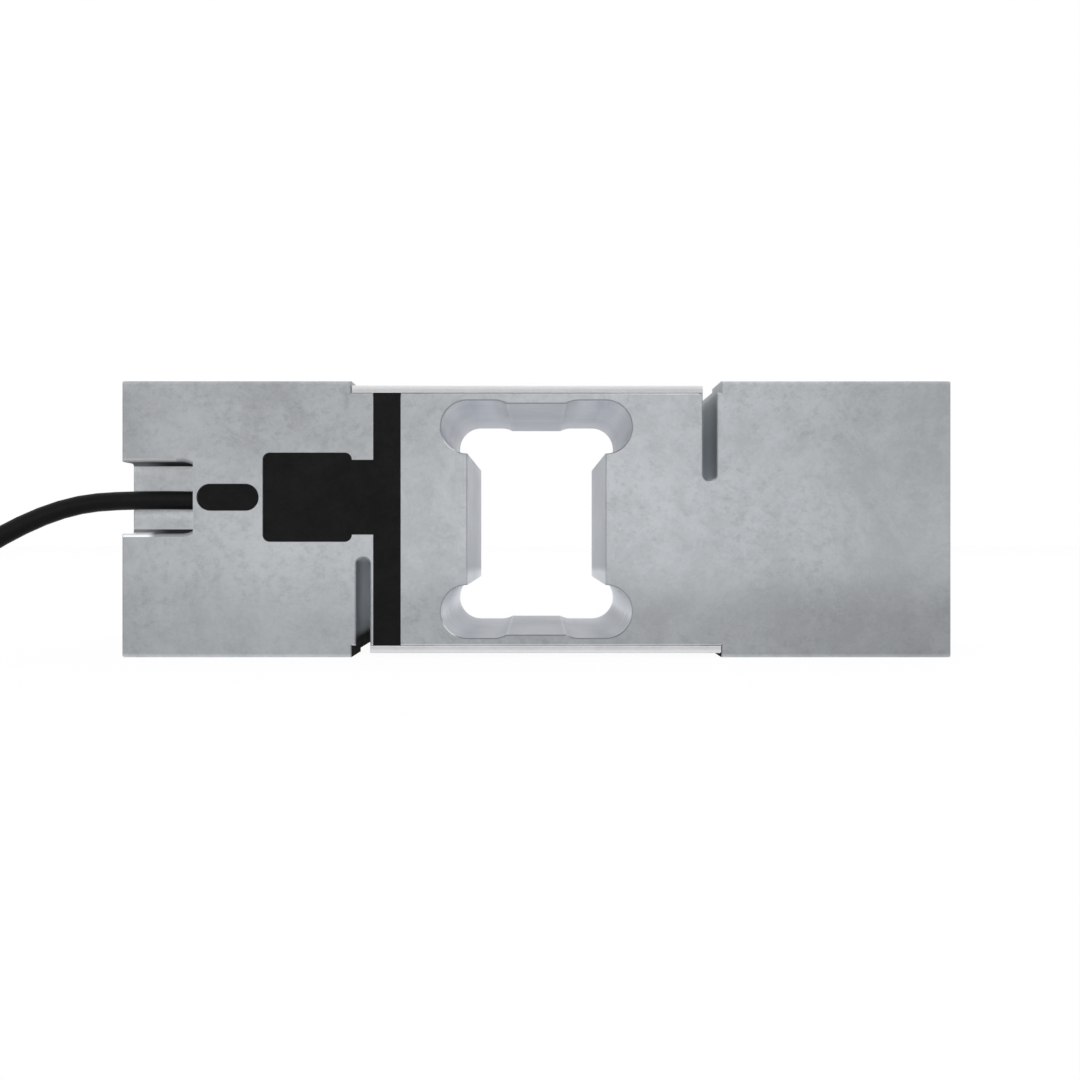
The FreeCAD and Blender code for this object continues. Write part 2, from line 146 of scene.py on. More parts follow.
def startGroup(name, inputs, outputs):
    group = bpy.data.node_groups.new(name, "ShaderNodeTree")
    for label, value in inputs.items():
        socket = group.interface.new_socket(label, in_out="INPUT", socket_type="NodeSocketFloat")
        socket.default_value = value
    for label, kind in outputs.items():
        group.interface.new_socket(label, in_out="OUTPUT", socket_type="NodeSocket" + kind)
    entry = group.nodes.new("NodeGroupInput")
    result = group.nodes.new("NodeGroupOutput")
    return group, entry.outputs, result.inputs


def place(tree, group, **values):
    node = tree.nodes.new("ShaderNodeGroup")
    node.node_tree = group
    for name, value in values.items():
        feed(tree, node.inputs[name.capitalize()], value)
    return node.outputs


def emptyTree(owner):
    owner.use_nodes = True
    owner.node_tree.nodes.clear()
    return owner.node_tree


def addObject(name, data):
    added = bpy.data.objects.new(name, data)
    bpy.context.scene.collection.objects.link(added)
    return added


# soft clouds with clusters of fine specks, as on stained grey metal or cast resin

stainSet = {
    "cloudTurn": (0.6, 0.5, 0.3),
    "speckStretch": (0.85, 1, 1.1),
    "speckShift": (0.37, 0.11, 0.23),
    "speckTurn": (0.3, 0.25, 0.7),
    "clouds": (8.0, 0.95, 0.2),  # detail, roughness and distortion of each noise
    "patches": (3.0, 0.5, 0.6),
    "grain": (5.0, 0.8),
    "cloudRange": (0.37, 0.63),
    "patchRange": (0.32, 0.64, 0.2, 1.0),
    "grainRange": (0.48, 0.64),
}


def makeStainGroup():
    inputs = {"Scale": 40.0, "Grain": 12.0}
    group, given, result = startGroup("stainClouds", inputs, {"Clouds": "Float", "Specks": "Float"})
    here = objectPlace(group, turn=stainSet["cloudTurn"])
    there = objectPlace(group, stainSet["speckStretch"], stainSet["speckShift"], stainSet["speckTurn"])
    clouds = noise(group, here, given["Scale"], *stainSet["clouds"])
    patches = noise(group, there, given["Scale"], *stainSet["patches"])
    fine = product(group, given["Scale"], given["Grain"])
    grain = noise(group, there, fine, *stainSet["grain"])
    patches = spread(group, patches, *stainSet["patchRange"])
    specks = product(group, patches, spread(group, grain, *stainSet["grainRange"]))
    feed(group, result["Clouds"], spread(group, clouds, *stainSet["cloudRange"]))
    feed(group, result["Specks"], specks)
    return group


# softened edge: a rounded normal, and how near the edge is

bevelSet = {"radius": 0.35 * mm, "samples": 8, "bend": (0.01, 0.22)}


def makeEdgeGroup():
    outputs = {"Normal": "Vector", "Mask": "Float"}
    group, given, result = startGroup("softEdge", {"Radius": bevelSet["radius"]}, outputs)
    rounded = put(group, "Bevel", {"Radius": given["Radius"]}, samples=bevelSet["samples"]).outputs[0]
    straight = put(group, "NewGeometry").outputs["Normal"]
    same = put(group, "VectorMath", {0: rounded, 1: straight}, operation="DOT_PRODUCT").outputs["Value"]
    feed(group, result["Normal"], rounded)
    feed(group, result["Mask"], spread(group, inverse(group, same), *bevelSet["bend"]))
    return group


# fine lines left by a cutter or a roll, along the axes with the low numbers

lineLook = {"Lines": (3.0, 0.6), "Bands": (2.0, 0.5), "range": (0.3, 0.7)}
lineSets = {
    "millLines": {"Lines": (30, 2400, 30), "Bands": (12, 420, 12)},
    "rollLines": {"Lines": (14, 1500, 1900), "Bands": (40, 300, 900)},
}


def makeLineGroup(name):
    outputs = {"Lines": "Float", "Bands": "Float"}
    group, given, result = startGroup(name, {"Fineness": 1.0}, outputs)
    for label in outputs:
        found = noise(group, objectPlace(group, lineSets[name][label]), given["Fineness"], *lineLook[label])
        feed(group, result[label], spread(group, found, *lineLook["range"]))
    return group


stainGroup = makeStainGroup()
edgeGroup = makeEdgeGroup()
millGroup = makeLineGroup("millLines")
rollGroup = makeLineGroup("rollLines")
print("node groups made")


# materials

def startMaterial(name):
    material = bpy.data.materials.new(name)
    tree = emptyTree(material)
    shader = put(tree, "BsdfPrincipled")
    output = put(tree, "OutputMaterial")
    tree.links.new(shader.outputs[0], output.inputs["Surface"])
    return material, tree, shader.inputs


def bumped(tree, shader, look, height, **more):
    values = {"Strength": look["bumpStrength"], "Distance": look["bumpDistance"], "Height": height, **more}
    feed(tree, shader["Normal"], put(tree, "Bump", values).outputs[0])


# the body's metal: its face, the window's walls, the slots, the cable notch, a film of resin and the edges,
# much of it coloured with painted light and shade
# places are in millimetres, and a row named slope is read off the surface's normal

metalSet = {
    # glint is a painted highlight; black is painted shadow at the slots' foot and also the resin film's own
    # colour
    "glint": (0.95, 0.95, 0.96, 1),
    "black": (0.009, 0.009, 0.0095, 1),
    "metallic": 0.4,
    "gloss": 0.2,
    "wallSlope": (0.4, 0.9, 1.0, 0.0),
    "window": (-1, 18.5, 0.3),
    "halfHeight": 25 * mm,
    "sideTone": 0.9,
    "rough": (0.52, 0.44),
    "sidePolish": 0.06,
    "grain": (5200.0, 2.0, 0.6),
    "bumpStrength": 0.12,
    "bumpDistance": 0.04 * mm,
}
faceSet = {
    "light": (0.500, 0.515, 0.534, 1),
    "dark": (0.436, 0.449, 0.466, 1),
    "speck": (0.293, 0.311, 0.323, 1),
    "cloudScale": 42.0,
    "speckGrain": 15.0,
    "speckShare": 0.37,
    "leftTone": (-82, -40, 0.84, 0.955),
    "middleTone": (-22, 12, 1.0, 1.047),
    "rightTone": (20, 80, 1.0, 0.825),
    "top": (22, 45, 0.0, 1.0),
    "topLeft": (-66, -44, 0.12, 0.24),
    "topRight": (-36, 0, 0.0, 0.15),
    "foot": (6, 19, 1.0, 0.0),
    "footLeft": (-72, -56, 0.04, 0.12),
    "footRight": (-30, 5, 0.0, 0.13),
}


def faceColour(tree, spot):
    # mottled face, with painted shade darkening it towards the top, the ends and the foot, and painted
    # light in the middle
    x, z = spot["X"], spot["Z"]
    stain = place(tree, stainGroup, scale=faceSet["cloudScale"], grain=faceSet["speckGrain"])
    colour = mixColour(tree, stain["Clouds"], faceSet["dark"], faceSet["light"])
    specks = product(tree, stain["Specks"], faceSet["speckShare"])
    colour = mixColour(tree, specks, colour, faceSet["speck"])
    along = [ramp(tree, x, faceSet[name]) for name in ("leftTone", "middleTone", "rightTone")]
    strength = calc(tree, "SUBTRACT", ramp(tree, x, faceSet["topLeft"]),
                    ramp(tree, x, faceSet["topRight"]))
    top = product(tree, ramp(tree, z, faceSet["top"]), strength)
    strength = calc(tree, "ADD", ramp(tree, x, faceSet["footLeft"]), ramp(tree, x, faceSet["footRight"]))
    foot = product(tree, ramp(tree, z, faceSet["foot"]), strength)
    shade = inverse(tree, calc(tree, "ADD", top, foot))
    return scaled(tree, colour, product(tree, *along, shade)), stain


wallSet = {
    "light": (0.62, 0.643, 0.69, 1),
    "dark": (0.58, 0.602, 0.648, 1),
    "lobe": (0.94, 0.96, 1.0, 1),
    "lineShare": 0.35,
    "groundSlope": (0.3, 0.8),
    "roofSlope": (-0.8, -0.3, 1.0, 0.0),
    "lowTone": (6, 18, 0.74, 0.94),
    "highTone": (36, 44, 1.0, 0.98),
    "groundDepth": (-18, 10, 0.04, 0.18),
    "groundEnds": (4.5, 6, 0.0, 0.15),
    "roofEnds": (4.5, 6, 0.17, 0.33),
    "roofFront": (-2, 8, 0.17, 0.0),
    "roofLobes": (9.3, 12.6, 2.2),
    "waist": (16, 34, 3.0),
    "waistLeft": (-12, -10, 0.06, 0.0),
    "lobes": (13, 19, 3.0),
    "lobeSlope": (0.1, 0.9),
    "lobeFloor": (0, 13, 1.0, 0.65),
    "lobeLow": (4.8, 9, 0.0, 1.0),
    "lobeHigh": (13.9, 16.1, 1.0, 0.0),
    "lobeTilt": 0.03,  # the pale part ends higher towards the front
    "streak": (0.2, 0.8, 0.75, 1.0),
    "streakRight": (0, 13, 1.25, 1.75),
    "joint": (5.35, 5.5, 0.12),
    "jointHeight": (3, 6, 0.3),
    "jointShare": 0.2,
}


def wallColour(tree, spot, facing, mill):
    # milled walls, painted paler than the face against their shade, with more painted shade low down, at
    # the waist and towards the back of the floors, painted light on the roofs by the lobes, a painted
    # highlight in the sides of the lower lobes and a painted glint where each lobe's floor begins
    x, y, z = spot
    middle = calc(tree, "ABSOLUTE", x)
    colour = mixColour(tree, mill["Bands"], wallSet["dark"], wallSet["light"])
    lines = product(tree, mill["Lines"], wallSet["lineShare"])
    colour = mixColour(tree, lines, colour, wallSet["dark"])
    ground = spread(tree, facing["Z"], *wallSet["groundSlope"])
    far = calc(tree, "SUBTRACT", ramp(tree, y, wallSet["groundDepth"]),
               ramp(tree, middle, wallSet["groundEnds"]))
    roof = spread(tree, facing["Z"], *wallSet["roofSlope"])
    pale = calc(tree, "MULTIPLY_ADD", band(tree, middle, wallSet["roofLobes"]),
                ramp(tree, y, wallSet["roofFront"]), ramp(tree, middle, wallSet["roofEnds"]))
    waist = product(tree, band(tree, z, wallSet["waist"]), ramp(tree, x, wallSet["waistLeft"]))
    tone = product(tree, ramp(tree, z, wallSet["lowTone"]), ramp(tree, z, wallSet["highTone"]),
                   inverse(tree, product(tree, ground, far)), calc(tree, "MULTIPLY_ADD", roof, pale, 1.0),
                   inverse(tree, waist))
    colour = scaled(tree, colour, tone)
    under = product(tree, spread(tree, facing["Z"], *wallSet["lobeSlope"]),
                    ramp(tree, x, wallSet["lobeFloor"]))
    level = calc(tree, "MULTIPLY_ADD", y, wallSet["lobeTilt"], z)
    lobe = product(tree, band(tree, middle, wallSet["lobes"]), ramp(tree, z, wallSet["lobeLow"]),
                   ramp(tree, level, wallSet["lobeHigh"]), inverse(tree, under))
    streak = product(tree, spread(tree, mill["Bands"], *wallSet["streak"]),
                     ramp(tree, x, wallSet["streakRight"]))
    # painted highlight in the sides of the lower lobes, following the mill bands
    colour = mixColour(tree, product(tree, lobe, streak), colour, wallSet["lobe"])
    # painted glint where each lower lobe's floor begins
    joint = product(tree, band(tree, middle, wallSet["joint"]), band(tree, z, wallSet["jointHeight"]),
                    wallSet["jointShare"])
    return mixColour(tree, joint, colour, metalSet["glint"])


slotSet = {
    "front": (0.25, 0.264, 0.278, 1),
    "back": (0.61, 0.645, 0.68, 1),
    "low": (0.9, 0.935, 0.97, 1),
    "mouth": (0.33, 0.353, 0.372, 1),
    "end": (0.78, 0.80, 0.83, 1),
    "places": (29.6, 33.55, 0.1),
    "depth": (-20.2, -12, 0.0, 1.0),
    "height": (24, 44, 0.0, 1.0),
    "mouthHeight": (43, 49, 0.0, 1.0),
    "endSlope": (0.3, 0.75),
    "foot": (3.1, 5.0, 1.0, 0.0),
    "polish": (24, 28, 0.1, 0.05),
}


def slotColour(tree, spot, facing):
    # wire-cut slots in painted light and shade: painted shade in front, painted light deeper in, at the
    # mouth and on the round end, and painted black shadow at the foot
    y, z = spot["Y"], spot["Z"]
    deep = ramp(tree, y, slotSet["depth"])
    back = mixColour(tree, ramp(tree, z, slotSet["height"]), slotSet["low"], slotSet["back"])
    colour = mixColour(tree, deep, slotSet["front"], back)
    colour = mixColour(tree, ramp(tree, z, slotSet["mouthHeight"]), colour, slotSet["mouth"])
    end = spread(tree, calc(tree, "ABSOLUTE", facing["Z"]), *slotSet["endSlope"])
    colour = mixColour(tree, end, colour, slotSet["end"])
    # painted black shadow at the foot
    foot = ramp(tree, z, slotSet["foot"])
    return mixColour(tree, foot, colour, metalSet["black"]), foot, deep


notchSet = {
    "cornerLight": (0.255, 0.262, 0.27, 1),
    "cornerDark": (0.03, 0.0305, 0.0315, 1),
    "lipLight": (0.97, 0.972, 0.975, 1),
    "lipDark": (0.29, 0.30, 0.31, 1),
    "backTone": 1.26,  # against the face
    "length": (-76, -62.1, 0.05),
    "height": (21.6, 36.2, 0.3),
    "depth": (-14.8, -14.3, 1.0, 0.0),
    "inside": (-19.4, -19.1, 0.0, 1.0),
    "back": (-16.6, -16.2, 0.0, 1.0),
    "backTop": (32.8, 34.9, 0.0, 0.6),
    "cableHeight": 28.5 * mm,
    "nearCable": (1.6, 3.9, 1.0, 0.0),
    "underCable": (27, 30, 0.7, 0.12),
    "cornerRun": (-74, -68, 0.0, 1.0),
    "ceilingSlope": (-0.5, -0.2, 1.0, 0.0),
    "backHeight": (23.3, 34.86, 0.15),
    "polished": (-70.6, -68.9, 1.0, 0.0),
    "ledgeLength": (-72.3, -70.7, 1.0, 0.0),
    "ledgeHeight": (22.5, 22.7, 1.0, 0.0),
    "lipSlope": (0.03, 0.15),
    "browSlope": (-0.2, -0.04, 1.0, 0.0),
    "browEnd": (-65.5, -64, 0.0, 1.0),
    "browShade": 0.3,
    "browLight": (-73, -69, 0.27, 0.19),
}


def notchColour(tree, spot, facing, colour):
    # cable notch in painted light and shade: the back lightened against its shade, painted shade on the
    # ceiling and in the corners, a painted highlight on the lower lip and painted shade and light on the
    # upper one
    x, y, z = spot
    here = product(tree, band(tree, x, notchSet["length"]), band(tree, z, notchSet["height"]),
                   ramp(tree, y, notchSet["depth"]))
    inside = ramp(tree, y, notchSet["inside"])
    outside = product(tree, here, inverse(tree, inside))
    back = product(tree, here, ramp(tree, y, notchSet["back"]))
    # painted light on the back, most near the ceiling and the cable, against their shade
    offCable = calc(tree, "ABSOLUTE", calc(tree, "SUBTRACT", z, notchSet["cableHeight"]))
    near = product(tree, ramp(tree, offCable, notchSet["nearCable"]),
                   ramp(tree, z, notchSet["underCable"]))
    pale = calc(tree, "ADD", ramp(tree, z, notchSet["backTop"]), near)
    pale = calc(tree, "ADD", notchSet["backTone"], pale)
    colour = mixColour(tree, back, colour, scaled(tree, colour, pale))
    # painted shade on the ceiling and in the corners, darker towards the notch's inner end
    run = ramp(tree, x, notchSet["cornerRun"])
    corner = mixColour(tree, run, notchSet["cornerLight"], notchSet["cornerDark"])
    ceiling = product(tree, inside, spread(tree, facing["Z"], *notchSet["ceilingSlope"]))
    rim = product(tree, back, inverse(tree, band(tree, z, notchSet["backHeight"])))
    ledge = product(tree, back, ramp(tree, x, notchSet["ledgeLength"]),
                    ramp(tree, z, notchSet["ledgeHeight"]))
    dark = product(tree, here, most(tree, ceiling, rim), inverse(tree, ledge))
    colour = mixColour(tree, dark, colour, corner)
    # painted highlight on the lower lip, white at its outer end
    polished = ramp(tree, x, notchSet["polished"])
    lip = mixColour(tree, polished, notchSet["lipDark"], notchSet["lipLight"])
    raised = product(tree, outside, spread(tree, facing["Z"], *notchSet["lipSlope"]))
    colour = mixColour(tree, most(tree, ledge, raised), colour, lip)
    # painted light along the upper lip and painted shade at its inner end
    brow = product(tree, outside, spread(tree, facing["Z"], *notchSet["browSlope"]))
    end = ramp(tree, x, notchSet["browEnd"])
    colour = mixColour(tree, product(tree, brow, end, notchSet["browShade"]), colour, edgeSet["dark"])
    light = calc(tree, "SUBTRACT", ramp(tree, x, notchSet["browLight"]), end)
    light = product(tree, brow, calc(tree, "MAXIMUM", light, 0.0))
    return mixColour(tree, light, colour, notchSet["lipLight"]), dark


filmSet = {
    "pocketSize": 16.0 * mm,
    "pocketCorner": 1.3 * mm,
    "neckHeight": 13.4 * mm,
    "neckLength": 4.5 * mm,
    "left": 0.17 * mm,  # how far the film goes past the pockets' left sides
    "top": 0.16 * mm,  # and past their upper sides
    "soft": 0.03 * mm,
    "frontSlope": (-0.95, -0.85, 1.0, 0.0),
}


def roundedArea(tree, spot, low, high, corner):
    # 1 within an upright rectangle with round corners
    squares = []
    for axis, start, end in (("X", low[0], high[0]), ("Z", low[1], high[1])):
        off = calc(tree, "ABSOLUTE", calc(tree, "SUBTRACT", spot[axis], (start + end) / 2))
        past = calc(tree, "MAXIMUM", calc(tree, "SUBTRACT", off, (end - start) / 2 - corner), 0.0)
        squares.append(product(tree, past, past))
    away = calc(tree, "SQRT", calc(tree, "ADD", *squares))
    return spread(tree, away, corner - filmSet["soft"], corner + filmSet["soft"], 1.0, 0.0)


def resinFilm(tree, spot, facing):
    # resin that ran a little past the upper and left rims of the pockets
    left, top, size = filmSet["left"], filmSet["top"], filmSet["pocketSize"]
    level = (pillLow.z + pillHigh.z) / 2
    right = pourLow.x + size
    neckTop = level + filmSet["neckHeight"] / 2
    pill = roundedArea(tree, spot, (pillLow.x - left, pillLow.z), (pillHigh.x, pillHigh.z + top),
                       (pillHigh.z + top - pillLow.z) / 2)
    pocket = roundedArea(tree, spot, (pourLow.x - left, level - size / 2),
                         (right, level + size / 2 + top), filmSet["pocketCorner"])
    neck = roundedArea(tree, spot, (right - size / 2, neckTop - size / 4),
                       (right + filmSet["neckLength"], neckTop + top), filmSet["soft"])
    front = spread(tree, facing["Y"], *filmSet["frontSlope"])
    return product(tree, front, most(tree, pill, pocket, neck))


edgeSet = {
    "light": (0.57, 0.585, 0.605, 1),
    "dark": (0.17, 0.175, 0.187, 1),
    "strips": (-1, 34.1, 0.3),
    "inner": (3, 47, 0.3),
    "upperStrip": (46, 47, 0.0, 1.0),
    "upperLength": (-1, 32.4, 0.3),
    "upperFade": (-20, 22, 1.0, 0.0),
    "slots": (29.2, 34.0, 0.3),
    "slotHeight": (2.5, 47.5, 0.3),
    "share": 0.45,
    "slotShare": 0.35,
    "chamfer": (0.6, 0.68),
    "chamferEnd": (0.75, 0.85, 1.0, 0.0),
    "dimSlope": (0.45, 0.6, 0.45, 0.75),
    "dimWaist": (11.2, 12.3, 0.25, 1.0),
    "sparkSlope": (0.2, 0.4),
    "sparkShare": 0.75,
    "border": (24.35, 24.55, 0.0, 1.0),
    "borderTone": (10, 40, 0.26, 0.09),
    "base": (0.1, 0.3, 0.5, 0.0),
    "ends": (74.4, 74.7, 0.0, 0.3),
    "seam": (22.65, 22.95, 0.1),
    "seamLength": (-1, 33.3, 0.3),
    "seamEnd": (29.3, 29.6, 0.0, 1.0),
    "upperHalf": (20, 30, 0.0, 1.0),
    "lowShine": 0.8,
    "highShine": (10, 22, 0.2, 0.66),
    "pocketLength": (-63.5, -23.5, 0.3),
    "pocketHeight": (2.6, 47.2, 0.3),
}


def edgeColour(tree, spot, facing, onWall, colour):
    # painted highlights on the edges, painted shade on the edges of the slots' walls and of the window, but
    # for painted glints where the window's chamfers face up and to the right; the borders, the bottom edge,
    # the ends' chamfers and the seams by the strips get painted light
    x, z = spot["X"], spot["Z"]
    edge = place(tree, edgeGroup)
    middle = calc(tree, "ABSOLUTE", x)
    outer = calc(tree, "ABSOLUTE", calc(tree, "SUBTRACT", z, metalSet["halfHeight"]))
    inner = band(tree, z, edgeSet["inner"])
    strips = product(tree, band(tree, middle, edgeSet["strips"]), inverse(tree, inner))
    under = product(tree, strips, ramp(tree, z, edgeSet["upperStrip"]),
                    band(tree, middle, edgeSet["upperLength"]), ramp(tree, x, edgeSet["upperFade"]))
    plain = calc(tree, "SUBTRACT", strips, under)
    slots = product(tree, band(tree, middle, edgeSet["slots"]), band(tree, z, edgeSet["slotHeight"]))
    cut = product(tree, slots, onWall)
    window = product(tree, band(tree, middle, metalSet["window"]), inner)
    # painted highlight on the edges, and painted shade under the upper strip and on the slots' walls
    shade = mixColour(tree, most(tree, under, cut), edgeSet["light"], edgeSet["dark"])
    share = calc(tree, "MULTIPLY_ADD", cut, edgeSet["slotShare"], edgeSet["share"])
    share = product(tree, share, inverse(tree, most(tree, plain, window)), edge["Mask"])
    colour = mixColour(tree, share, colour, shade)
    slope = calc(tree, "ABSOLUTE", facing["Y"])
    slope = product(tree, spread(tree, slope, *edgeSet["chamfer"]),
                    spread(tree, slope, *edgeSet["chamferEnd"]))
    # painted shade on the window's chamfers and painted glints on those that face up and to the right
    brink = product(tree, slope, window)
    dim = product(tree, brink, spread(tree, facing["Z"], *edgeSet["dimSlope"]),
                  ramp(tree, outer, edgeSet["dimWaist"]))
    colour = mixColour(tree, dim, colour, edgeSet["dark"])
    spark = product(tree, brink, spread(tree, facing["X"], *edgeSet["sparkSlope"]),
                    spread(tree, facing["Z"], *edgeSet["sparkSlope"]), edgeSet["sparkShare"])
    colour = mixColour(tree, spark, colour, metalSet["glint"])
    # painted light on the borders, the bottom edge, the ends' chamfers and the seams by the strips, against
    # their shade
    border = ramp(tree, outer, edgeSet["border"])
    lift = calc(tree, "MULTIPLY_ADD", border, ramp(tree, z, edgeSet["borderTone"]), 1.0)
    corner = product(tree, slope, ramp(tree, middle, edgeSet["ends"]))
    corner = calc(tree, "ADD", calc(tree, "ADD", ramp(tree, z, edgeSet["base"]), corner), 1.0)
    upper = ramp(tree, z, edgeSet["upperHalf"])
    slotMouth = product(tree, ramp(tree, x, edgeSet["seamEnd"]), upper)
    seam = product(tree, band(tree, middle, edgeSet["seamLength"]), band(tree, outer, edgeSet["seam"]),
                   inverse(tree, slotMouth))
    shine = calc(tree, "SUBTRACT", ramp(tree, x, edgeSet["highShine"]), edgeSet["lowShine"])
    shine = calc(tree, "MULTIPLY_ADD", upper, shine, edgeSet["lowShine"])
    shine = calc(tree, "MULTIPLY_ADD", seam, shine, 1.0)
    colour = scaled(tree, colour, product(tree, lift, corner, shine))
    straight = put(tree, "NewGeometry").outputs["Normal"]
    pockets = product(tree, band(tree, x, edgeSet["pocketLength"]),
                      band(tree, z, edgeSet["pocketHeight"]))
    flat = most(tree, plain, border, pockets, slots, window)
    return colour, mixVector(tree, flat, edge["Normal"], straight)


def makeBodyMetal():
    material, tree, shader = startMaterial("machinedAluminium")
    spot, facing = spotAndFacing(tree)
    middle = calc(tree, "ABSOLUTE", spot["X"])
    onWall = spread(tree, calc(tree, "ABSOLUTE", facing["Y"]), *metalSet["wallSlope"])
    mill = place(tree, millGroup)
    milled = product(tree, onWall, band(tree, middle, metalSet["window"]))
    cut = product(tree, onWall, band(tree, middle, slotSet["places"]))
    side = calc(tree, "SUBTRACT", onWall, most(tree, milled, cut))
    face, stain = faceColour(tree, spot)
    slot, foot, deep = slotColour(tree, spot, facing)
    colour = mixColour(tree, milled, face, wallColour(tree, spot, facing, mill))
    bands = product(tree, mill["Bands"], side)
    colour = scaled(tree, colour, spread(tree, bands, 0.0, 1.0, 1.0, metalSet["sideTone"]))
    colour = mixColour(tree, cut, colour, slot)
    colour, softNormal = edgeColour(tree, spot, facing, onWall, colour)
    colour, dark = notchColour(tree, spot, facing, colour)
    film = resinFilm(tree, spot, facing)
    feed(tree, shader["Base Color"], mixColour(tree, film, colour, metalSet["black"]))
    dull = most(tree, dark, film, product(tree, cut, foot))
    feed(tree, shader["Metallic"], spread(tree, dull, 0.0, 1.0, metalSet["metallic"], 0.0))
    satin = spread(tree, stain["Clouds"], 0.0, 1.0, *metalSet["rough"])
    bright = product(tree, cut, deep, ramp(tree, spot["Z"], slotSet["polish"]))
    satin = calc(tree, "SUBTRACT", satin,
                 calc(tree, "MULTIPLY_ADD", side, metalSet["sidePolish"], bright))
    feed(tree, shader["Roughness"], most(tree, satin, dull))
    shader["Specular IOR Level"].default_value = metalSet["gloss"]
    grain = product(tree, noise(tree, objectPlace(tree), *metalSet["grain"]), inverse(tree, cut))
    height = calc(tree, "MULTIPLY_ADD", mill["Lines"], most(tree, milled, side), grain)
    bumped(tree, shader, metalSet, height, Normal=softNormal)
    return material


coverSet = {
    "light": (0.545, 0.54, 0.547, 1),
    "dark": (0.47, 0.465, 0.473, 1),
    "outer": (0.73, 0.73, 0.735, 1),
    "flat": (0.47, 0.468, 0.474, 1),
    "metallic": 0.3,
    "gloss": 0.25,
    "cloudScale": 180.0,
    "speckGrain": 6.0,
    "bandShare": 0.2,
    "outerSide": (23.1, 24.3, 0.0, 1.0),
    "heightTone": (10, 40, 1.15, 0.98),
    "lowerRim": (0.8, 1.0, 1.3, 1.0),
    "innerRim": (22.9, 23.2, 1.25, 1.0),
    "flatSlope": (0.75, 0.95),
    "flatBands": 0.5,
    "rough": (0.38, 0.5),
    "bumpStrength": 0.1,
    "bumpDistance": 0.04 * mm,
}


def makeCoverMetal():
    # rolled strip, paler towards its outer side, with painted light on the lower strip, its lowest rim and
    # the inner rims, and flat faces painted darker against their glare
    material, tree, shader = startMaterial("coverAluminium")
    spot, facing = spotAndFacing(tree)
    roll = place(tree, rollGroup)
    stain = place(tree, stainGroup, scale=coverSet["cloudScale"], grain=coverSet["speckGrain"])
    colour = mixColour(tree, stain["Clouds"], coverSet["dark"], coverSet["light"])
    bands = product(tree, roll["Bands"], coverSet["bandShare"])
    colour = mixColour(tree, bands, colour, coverSet["dark"])
    outer = calc(tree, "ABSOLUTE", calc(tree, "SUBTRACT", spot["Z"], metalSet["halfHeight"]))
    colour = mixColour(tree, ramp(tree, outer, coverSet["outerSide"]), colour, coverSet["outer"])
    # painted light on the lower strip, its lowest rim and the inner rims
    tone = product(tree, ramp(tree, spot["Z"], coverSet["heightTone"]),
                   ramp(tree, spot["Z"], coverSet["lowerRim"]), ramp(tree, outer, coverSet["innerRim"]))
    # flat faces painted darker against their glare
    flat = spread(tree, calc(tree, "ABSOLUTE", facing["Z"]), *coverSet["flatSlope"])
    bands = product(tree, roll["Bands"], coverSet["flatBands"])
    lined = mixColour(tree, bands, coverSet["flat"], coverSet["light"])
    feed(tree, shader["Base Color"], mixColour(tree, flat, scaled(tree, colour, tone), lined))
    shader["Specular IOR Level"].default_value = coverSet["gloss"]
    shader["Metallic"].default_value = coverSet["metallic"]
    feed(tree, shader["Roughness"], spread(tree, roll["Lines"], 0.0, 1.0, *coverSet["rough"]))
    bumped(tree, shader, coverSet, roll["Lines"])
    return material


# dull black stuff: cast resin, cable jacket, sleeve and strap

blackLook = {
    "speckGrain": 7.0,
    "blue": 1.04,
    "roughSpan": (0.06, -0.05),
    "grain": (3.0, 0.6),
    "bumpStrength": 0.15,
    "bumpDistance": 0.05 * mm,
}
blackSets = {
    "pottingCompound": {"tones": (0.006, 0.009), "scale": 90.0, "rough": 0.62, "gloss": 0.08, "fine": 2600},
    "cableJacket": {"tones": (0.005, 0.007), "scale": 60.0, "rough": 0.44, "gloss": 0.08, "fine": 3800},
    "shrinkSleeve": {"tones": (0.010, 0.016), "scale": 240.0, "rough": 0.5, "gloss": 0.3, "fine": 1500},
    "tieStrap": {"tones": (0.012, 0.022), "scale": 300.0, "rough": 0.7, "gloss": 0.2, "fine": 2400},
}


def makeBlack(name):
    values = blackSets[name]
    material, tree, shader = startMaterial(name)
    stain = place(tree, stainGroup, scale=values["scale"], grain=blackLook["speckGrain"])
    low, high = values["tones"]
    light = (high, high, high * blackLook["blue"], 1)
    feed(tree, shader["Base Color"], mixColour(tree, stain["Clouds"], (low, low, low, 1), light))
    span = [values["rough"] + step for step in blackLook["roughSpan"]]
    feed(tree, shader["Roughness"], spread(tree, stain["Clouds"], 0.0, 1.0, *span))
    shader["Specular IOR Level"].default_value = values["gloss"]
    bumped(tree, shader, blackLook, noise(tree, objectPlace(tree), values["fine"], *blackLook["grain"]))
    return material


# small coloured stuff: insulation, films, laminate, chips and tinned wire

